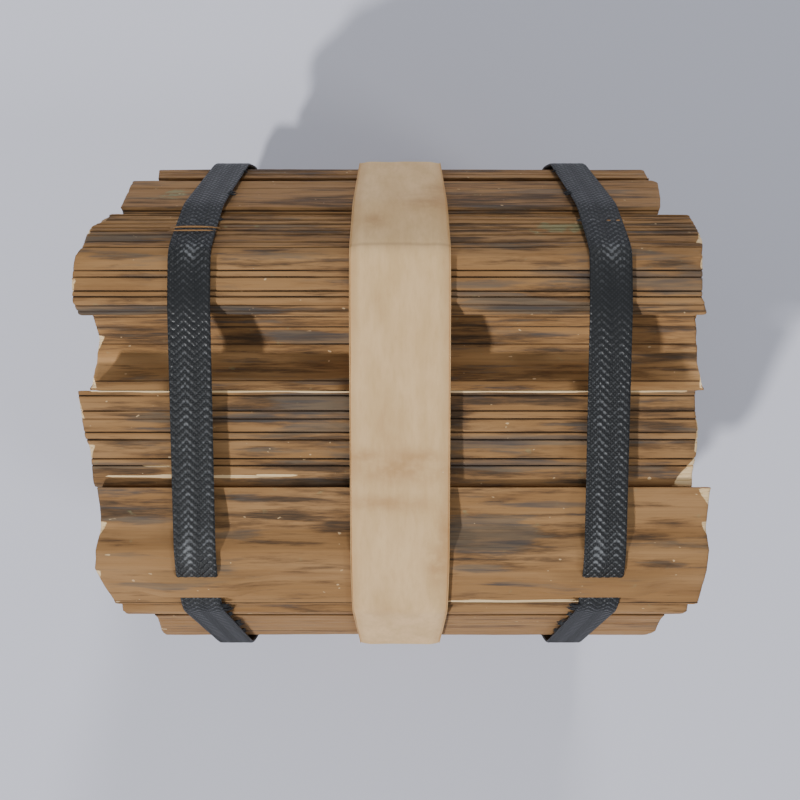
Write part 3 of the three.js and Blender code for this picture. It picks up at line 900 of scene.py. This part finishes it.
# the outline of a flat strip, a rectangle with round ends, as places across and out
def stripSection(width, shape):
    half, thick, bend = width / 2, shape["thick"], shape["round"]
    face = np.linspace(-half + bend, half - bend, shape["faceColumns"])
    back = np.linspace(half - bend, -half + bend, shape["backColumns"])
    turn = np.linspace(0, math.pi, shape["edgeColumns"] * 2)[1:-1]
    over = np.column_stack([half - bend + bend * np.sin(turn), -thick / 2 + thick / 2 * np.cos(turn)])
    under = np.column_stack([-half + bend - bend * np.sin(turn), -thick / 2 - thick / 2 * np.cos(turn)])
    face, back = np.column_stack([face, 0 * face]), np.column_stack([back, 0 * back - thick])
    return np.vstack([face, over, back, under])


# the strip's own flat map in metres: X across it, Y along it, one cell of the grid per face
def stripMap(mesh, points, sideways, along, step):
    side = np.broadcast_to(sideways[None], points.shape[:2])
    start = np.broadcast_to(along[:, None], points.shape[:2])
    sideNext, stop = np.roll(side, -1, 1), start + step
    corners = ((side, start), (sideNext, start), (sideNext, stop), (side, stop))
    places = np.stack([np.stack(corner, -1) for corner in corners], axis=2)
    mesh.uv_layers.new(name="strip").data.foreach_set("uv", places.astype(np.float32).ravel())


# A strip carried round a closed line: out from the line's own normal, across along X. Past the seam
# its upper layer stands a step higher, which eases away along the strip.
def makeLoop(name, shape, material, slot, relief):
    low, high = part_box(name)
    width, middleX = high.x - low.x, (low.x + high.x) / 2
    line = outerLine(name)
    total = evenLoop(line, 1)[1]
    count = int(total / shape["alongStep"])
    line = softLoop(evenLoop(line, count)[0], shape["softPasses"])
    along = np.arange(count) / count * total
    upper = line[:, 1] > line[:, 1].mean()
    seam = along[np.argmin(np.where(upper, np.abs(line[:, 0] - loopShape["seamY"]), np.inf))]
    past = (along - seam) % total
    lap = (1 - ease(0, loopShape["lapReach"], past)) * ease(0, loopShape["lapLip"], past)

    across, out = stripSection(width, shape).T
    onFace = (out > -loopShape["faceShare"] * shape["thick"]).astype(float)
    sideways = across + width / 2 + shape["shift"].get(name, 0)
    raised = shape["seamStep"] * (lap[:, None] - 1) + relief(along[:, None], sideways, total, width)
    height = out + raised * onFace
    points = np.empty((count, len(out), 3))
    points[..., 0] = middleX + across
    points[..., 1:] = line[:, None] + height[..., None] * loopNormals(line)[:, None]
    grid = np.arange(count * len(out)).reshape(count, -1)
    below, beside = np.roll(grid, -1, 0), np.roll(grid, -1, 1)
    quads = np.stack([grid, beside, np.roll(below, -1, 1), below], axis=-1).reshape(-1, 4)
    mesh = arrayMesh(name + "_loop", points.reshape(-1, 3), quads, np.empty((0, 3), int), [material])
    stripMap(mesh, points, sideways, along, total / count)

    fromSeam = (past + total / 2) % total - total / 2
    seamMark = np.exp(-fromSeam ** 2 / loopShape["seamWidth"] ** 2)
    vertexValue(mesh, "seam", np.repeat(seamMark, len(out)))
    edge = ease(width / 2 - loopShape["edgeWidth"], width / 2, np.abs(across))
    vertexValue(mesh, "edge", np.tile(edge, count))
    isUpper = points[..., 2] > loopShape["marksAbove"]
    for mark, spots in shape["marks"].items():
        amount = markAmount(spots, points[..., 0] - middleX, points[..., 1], isUpper)
        vertexValue(mesh, mark, amount.ravel())
    addPiece(name + "_loop", mesh, slot, name)


# how far a place lies from the middle line of its column of chevrons
def fromApex(sideways):
    share = (sideways - strapShape["firstApex"]) / strapShape["columnWidth"]
    return np.abs(share - np.round(share)) * strapShape["columnWidth"]


# ribs run down from the middle of each column at 45 degrees: the cosine of length plus distance
def braidRelief(along, sideways, total, width):
    pitch = total / round(total / strapShape["pitch"])
    phase = (along - fromApex(sideways)) / pitch
    return strapShape["rib"] * (0.5 * np.cos(2 * math.pi * phase) - 0.5) - strapShape["ribStart"]


# the band is a little fuller along its middle, and its thickness wanders slowly
def bandRelief(along, sideways, total, width):
    crown = ease(bandShape["crownFrom"] * width, width / 2, np.abs(sideways - width / 2))
    around = sideways / width * bandShape["wanderShare"] + 0 * along
    wander = latticeNoise(31, along / total + 0 * sideways, around, *bandShape["wanderCells"])
    return bandShape["wander"] * (wander - 1) - bandShape["crown"] * crown


# the braid's own dark and yarn colours, and the glint colour, a painted highlight on its beads
strapLook = {
    "dark": (0.0035, 0.004, 0.005), "yarn": (0.012, 0.013, 0.015), "paintedGlint": (0.17, 0.175, 0.185),
    "bump": 0.40 * mm, "gloss": 0.45,
}


# Yarns cross at 45 degrees: two families of even lines, folded at the middle of each column of
# chevrons. A bead stands where two cosine ridges cross, and carries a painted highlight that is
# brightest at the column's middle.
def braidedYarn():
    s = Shader("braidedYarn")
    pitch = strapShape["pitch"]
    uv = s.uv("strip")
    split = s.add("ShaderNodeSeparateXYZ")
    s.join(split.inputs[0], uv)
    across, along = split.outputs[0], split.outputs[1]
    share = s.math("SUBTRACT", across, strapShape["firstApex"])
    share = s.math("DIVIDE", share, strapShape["columnWidth"])
    fold = s.math("ABSOLUTE", s.math("SUBTRACT", share, s.math("ROUND", share)))
    middle = s.between(fold, 0.50, 0.06)
    fold = s.times(fold, strapShape["columnWidth"])

    def ridge(value, spacing):
        wave = s.math("COSINE", s.times(value, 2 * math.pi / spacing))
        return s.math("MULTIPLY_ADD", wave, 0.5, 0.5)

    ribs, beads = s.math("SUBTRACT", along, fold), s.plus(along, fold)
    knot = s.times(ridge(ribs, pitch), s.math("MULTIPLY_ADD", ridge(beads, 0.9 * pitch), 0.62, 0.38))
    fine = s.times(ridge(ribs, pitch / 2), ridge(beads, pitch / 2))
    paintedShineShare = s.value("paintedShine")
    color = s.mix(s.between(fine, 0.15, 0.85), strapLook["dark"], strapLook["yarn"])
    # under the painted shine marks the beads' painted highlights grow until they meet
    bead = s.plus(s.math("MULTIPLY_ADD", paintedShineShare, 0.40, knot), s.times(fine, 0.22))
    bead = s.between(bead, 0.34, 1.0)
    # painted highlight: the glint colour over the beads, strongest at the column's middle and under the
    # shine marks, weaker under the dull marks, and uneven by a slow noise
    uneven = s.between(s.noise(uv, (160, 160, 1), 2), 0.30, 0.70, 0.45, 1.25)
    plainer = s.math("MULTIPLY_ADD", s.value("dull"), -0.80, 1.0)
    light = s.times(s.math("MULTIPLY_ADD", middle, 0.32, 0.05), plainer)
    light = s.times(s.plus(light, s.times(paintedShineShare, 0.95)), uneven)
    color = s.over(color, strapLook["paintedGlint"], bead, light)
    color = s.over(color, strapLook["dark"], s.value("seam"), 0.7)
    height = s.times(s.plus(s.times(fine, 0.5), knot), plainer)
    roughness = s.between(knot, 0.1, 0.8, 0.62, 0.38)
    return s.finish(color, roughness, s.bump(height, strapLook["bump"], 1.0), strapLook["gloss"])


bandLook = {
    "cream": (0.655, 0.425, 0.203), "pale": (0.75, 0.505, 0.257), "tan": (0.48, 0.265, 0.105),
    "stain": (0.40, 0.205, 0.075), "speck": (0.86, 0.68, 0.44), "seam": (0.30, 0.17, 0.08),
    "bump": 0.15 * mm, "roughness": 0.72, "gloss": 0.3,
}


# pale hide: cloudy tone drawn out along the strip, darker near both edges, a few brown stains
def paleHide():
    s = Shader("paleHide")
    look = bandLook
    uv = s.uv("strip")
    cloud = s.between(s.noise(uv, (70, 22, 1), 4, 0.6), 0.32, 0.68)
    color = s.mix(cloud, look["cream"], look["pale"])
    fine = s.between(s.noise(uv, (420, 90, 1), 4, 0.65), 0.40, 0.75)
    color = s.over(color, look["tan"], fine, 0.22)
    stain = s.between(s.noise(uv, (26, 17, 1), 3, 0.5), 0.54, 0.72)
    color = s.over(color, look["stain"], stain, 0.25)
    blot = s.between(s.noise(uv, (90, 120, 1), 4, 0.6), 0.3, 0.6, 0.45, 1.0)
    color = s.over(color, look["stain"], s.times(s.value("stainMark"), blot), 0.62)
    edge = s.times(s.value("edge"), s.between(s.noise(uv, (30, 30, 1), 3), 0.2, 0.6, 0.5, 1.0))
    color = s.over(color, look["tan"], edge, 0.45)
    speck = s.between(s.noise(uv, (380, 380, 1), 1), 0.80, 0.84)
    color = s.over(color, look["speck"], speck, 0.5)
    color = s.over(color, look["seam"], s.value("seam"), 0.35)
    normal = s.bump(s.noise(uv, (900, 900, 1), 3, 0.6), look["bump"], 0.5)
    return s.finish(color, look["roughness"], normal, look["gloss"])


yarnMaterial = braidedYarn()
hideMaterial = paleHide()
for strap in strapNames:
    makeLoop(strap, strapShape, yarnMaterial, "braided_strap", braidRelief)
makeLoop("centre_band", bandShape, hideMaterial, "band_leather", bandRelief)
print("straps and band ready")

# Slivers, each a thin rod from one place to another in mm: X, Y, Z twice, its width, and how far its
# middle stands up. Two lie over the left strap. Each also bows to one side.
splinters = (
    (-123.5, 93.3, 304.9, -93.5, 93.1, 304.7, 1.3, 4.6), (-124, 91.3, 306.8, -95, 91.4, 306.8, 0.9, 4.4),
    (110.0, 97.8, 304.5, 112.4, 97.6, 304.7, 0.9, 0.4), (115.2, 97.8, 304.5, 117.4, 97.7, 304.7, 0.9, 0.4),
)
splinterBow = (0.2, -0.15, 0.1, 0.1)
# Frays stand out from the inner edge of both straps: Y and Z there, how many, and how far they reach.
frays = (
    (145.5, 225.5, 5, 2.5), (121.5, 269.5, 12, 4.5), (99.6, 300.6, 6, 2.5),
    (-112.0, 291.0, 22, 6.0), (-120.0, 275.0, 12, 2.5), (-131.5, 250.0, 24, 4.2), (-141.5, 229.0, 14, 2.2),
)
# In mm: how far inside the edge each starts, and how far it bows. Down and hang are steps along Y and Z,
# positive away from the middle and downwards; the other pairs are limits for what chance sets.
frayShape = {
    "start": 1.2, "bow": 0.6, "spacing": 0.28, "down": (0.45, 0.9), "hang": (-1.0, 0.6),
    "lengths": (0.35, 1.0), "slides": (-0.3, 1.2), "widths": (0.3, 0.8),
}
# every rod carries some painted shine, which only the braid's material reads, and some weathered grey
rodLook = {"steps": 12, "paintedShine": 0.30, "greyMark": 0.45}


# rods taper as the square root of a sine; their four corners stand to the sides of the rod's own line
def makeRods(name, rods, bow, material, slot):
    start, stop, wide, rise = rods[:, :3] * mm, rods[:, 3:6] * mm, rods[:, 6] * mm, rods[:, 7] * mm
    way = stop - start
    way /= np.linalg.norm(way, axis=1, keepdims=True)
    side = np.cross([0, 0, 1], way)
    side /= np.linalg.norm(side, axis=1, keepdims=True)
    over = np.cross(way, side)
    t = np.linspace(0, 1, rodLook["steps"])[1:-1]
    line = start[:, None] + t[None, :, None] * (stop - start)[:, None]
    line = line + ((1 - (2 * t - 1) ** 4)[None] * rise[:, None])[..., None] * np.array([0, 0, 1])
    line = line + (np.sin(math.pi * t)[None] * bow[:, None])[..., None] * side[:, None]
    size = np.sqrt(np.sin(math.pi * t))[None] * wide[:, None] / 2
    corners = np.stack([side, 0.5 * over, -side, -0.5 * over], 1)
    rings = line[:, :, None] + size[..., None, None] * corners[:, None]
    count, steps = rings.shape[:2]
    points = np.concatenate([start[:, None], rings.reshape(count, -1, 3), stop[:, None]], axis=1)
    first = np.arange(count)[:, None, None] * (steps * 4 + 2)
    grid = first + 1 + np.arange(steps * 4).reshape(1, steps, 4)
    beside = np.roll(grid, -1, 2)
    quads = np.stack([grid[:, :-1], beside[:, :-1], beside[:, 1:], grid[:, 1:]], axis=-1).reshape(-1, 4)
    tip = first[:, 0] + np.zeros((1, 4), int)
    fans = np.concatenate([np.stack([tip, beside[:, 0], grid[:, 0]], -1).reshape(-1, 3),
                           np.stack([tip + steps * 4 + 1, grid[:, -1], beside[:, -1]], -1).reshape(-1, 3)])
    mesh = arrayMesh(name, points.reshape(-1, 3), quads, fans, [material])
    for value in ("paintedShine", "greyMark"):
        vertexValue(mesh, value, np.full(len(mesh.vertices), rodLook[value]))
    addPiece(name, mesh, slot)


# each fray starts inside the strap's edge, a random step up or down it, and ends outside and lower
def frayRods():
    shape = frayShape
    rng = np.random.default_rng(77)
    rods = []
    for strap, inwards in zip(strapNames, (1, -1)):
        low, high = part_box(strap)
        edge = (high.x if inwards > 0 else low.x) / mm
        for y, z, count, reach in frays:
            outAndDown = np.array([math.copysign(1, y), -1])
            down, hang = outAndDown * shape["down"], outAndDown * shape["hang"]
            for _ in range(count):
                base = np.array([y, z]) + rng.uniform(-1, 1) * shape["spacing"] * count * down
                tipX = edge + inwards * reach * rng.uniform(*shape["lengths"])
                tip = base + down * rng.uniform(*shape["slides"]) + hang
                width = rng.uniform(*shape["widths"])
                rods.append([edge - inwards * shape["start"], *base, tipX, *tip, width, 0])
    return np.array(rods), rng.uniform(-1, 1, len(rods)) * shape["bow"] * mm


makeRods("splinters", np.array(splinters), np.array(splinterBow) * mm, splitWoodMaterial, "split_wood")
makeRods("strap_frays", *frayRods(), yarnMaterial, "braided_strap")
print("slivers ready")
